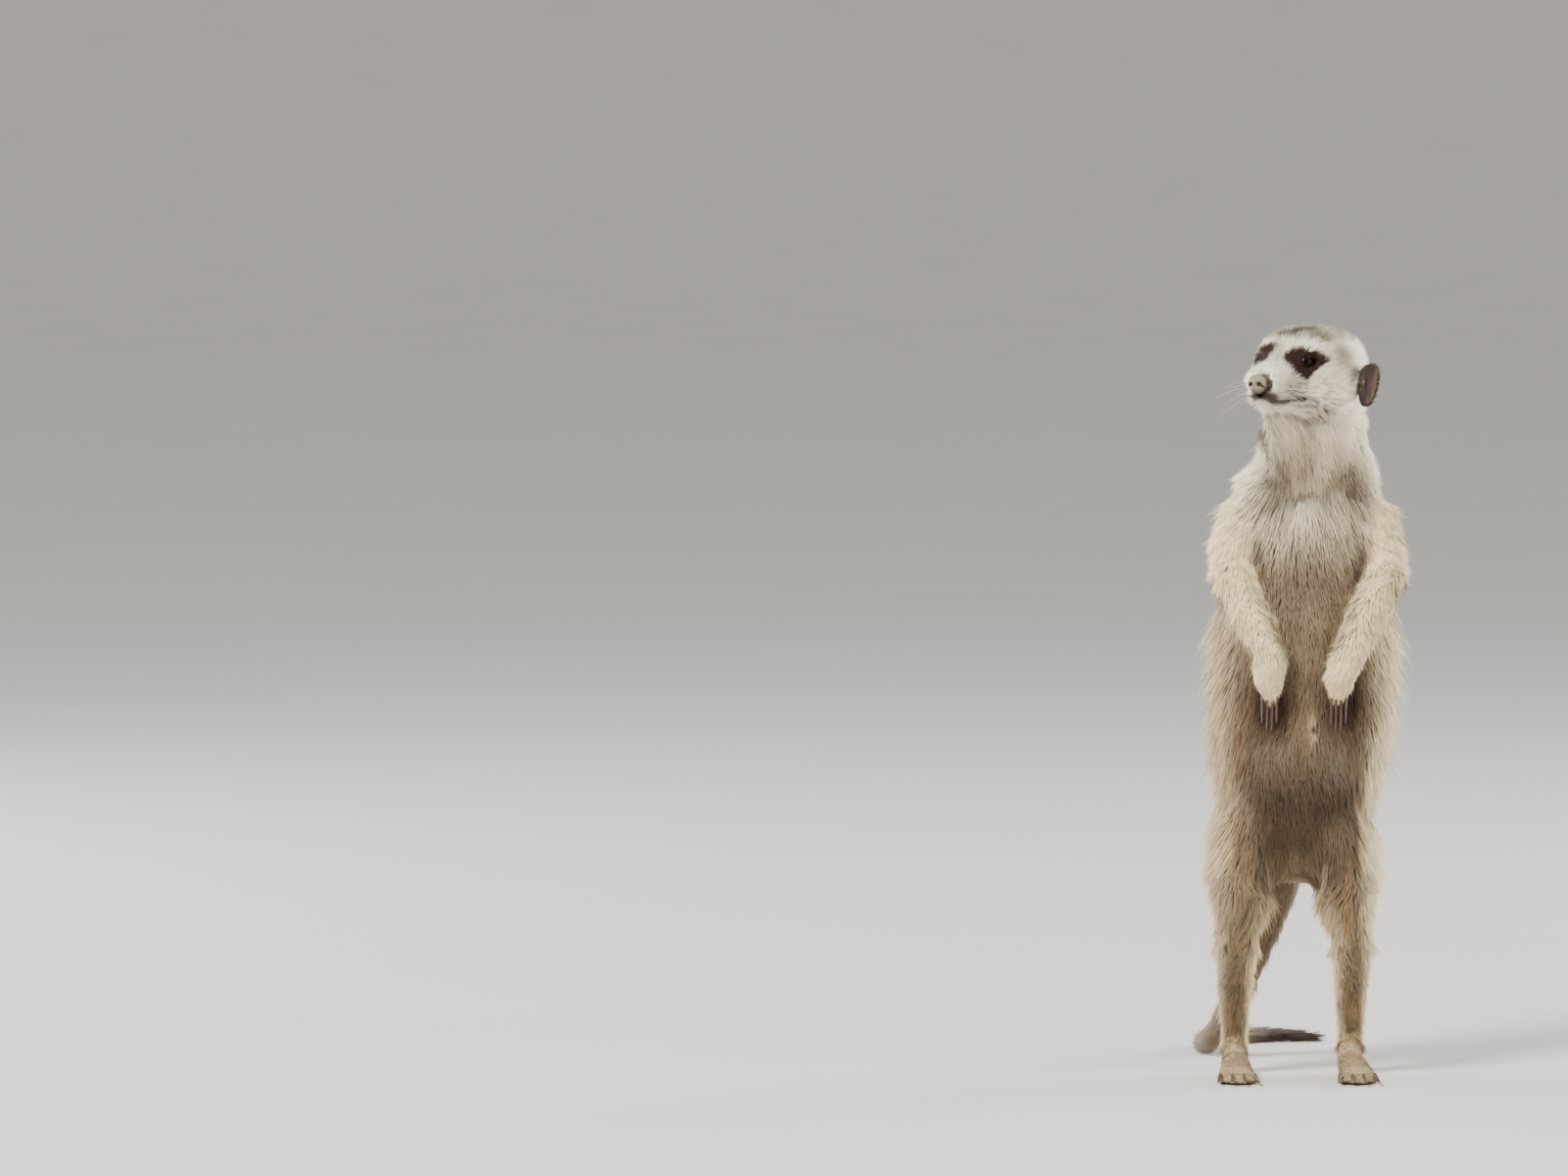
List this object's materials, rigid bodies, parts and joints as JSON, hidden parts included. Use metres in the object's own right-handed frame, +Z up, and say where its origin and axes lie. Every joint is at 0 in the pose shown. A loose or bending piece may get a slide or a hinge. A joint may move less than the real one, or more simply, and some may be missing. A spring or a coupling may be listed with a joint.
{
  "type": "standing meerkat model",
  "caption": "Life-size still model of a meerkat standing upright on its hind feet and tail, arms hanging in front, head turned to its right.",
  "frame": {"origin": "on the floor, in the middle of the model's footprint", "axes": "+Z up along the standing body, -Y the way the chest faces, +X the animal's left"},
  "size_m": [0.0888, 0.2108, 0.3303],
  "materials": {
    "face_fur": "short white and grey fur",
    "pale_fur": "short cream fur",
    "body_fur": "long grizzled brown and buff fur",
    "leg_fur": "short brown and buff fur",
    "tail_fur": "short tawny fur with a dark tip",
    "ear_skin": "thin dark skin with very short hair",
    "eye": "wet gloss",
    "nose_leather": "fine moist grain",
    "claw_horn": "satin dark horn"
  },
  "bodies": {
    "root": {"head": "face_fur", "neck": "face_fur", "trunk": "body_fur", "tail_base": "tail_fur", "tail_middle": "tail_fur", "tail_tip": "tail_fur", "thigh_left": "leg_fur", "shank_left": "leg_fur", "hind_foot_left": "leg_fur", "upper_arm_left": "pale_fur", "forearm_left": "pale_fur", "forepaw_left": "pale_fur", "eye_left": "eye", "ear_left": "ear_skin", "thigh_right": "leg_fur", "shank_right": "leg_fur", "hind_foot_right": "leg_fur", "upper_arm_right": "pale_fur", "forearm_right": "pale_fur", "forepaw_right": "pale_fur", "eye_right": "eye", "ear_right": "ear_skin", "nose": "nose_leather", "fore_claw_left_1": "claw_horn", "fore_claw_left_2": "claw_horn", "fore_claw_left_3": "claw_horn", "fore_claw_left_4": "claw_horn", "hind_claw_left_1": "claw_horn", "hind_claw_left_2": "claw_horn", "hind_claw_left_3": "claw_horn", "hind_claw_left_4": "claw_horn", "fore_claw_right_1": "claw_horn", "fore_claw_right_2": "claw_horn", "fore_claw_right_3": "claw_horn", "fore_claw_right_4": "claw_horn", "hind_claw_right_1": "claw_horn", "hind_claw_right_2": "claw_horn", "hind_claw_right_3": "claw_horn", "hind_claw_right_4": "claw_horn"}
  },
  "joints": []
}
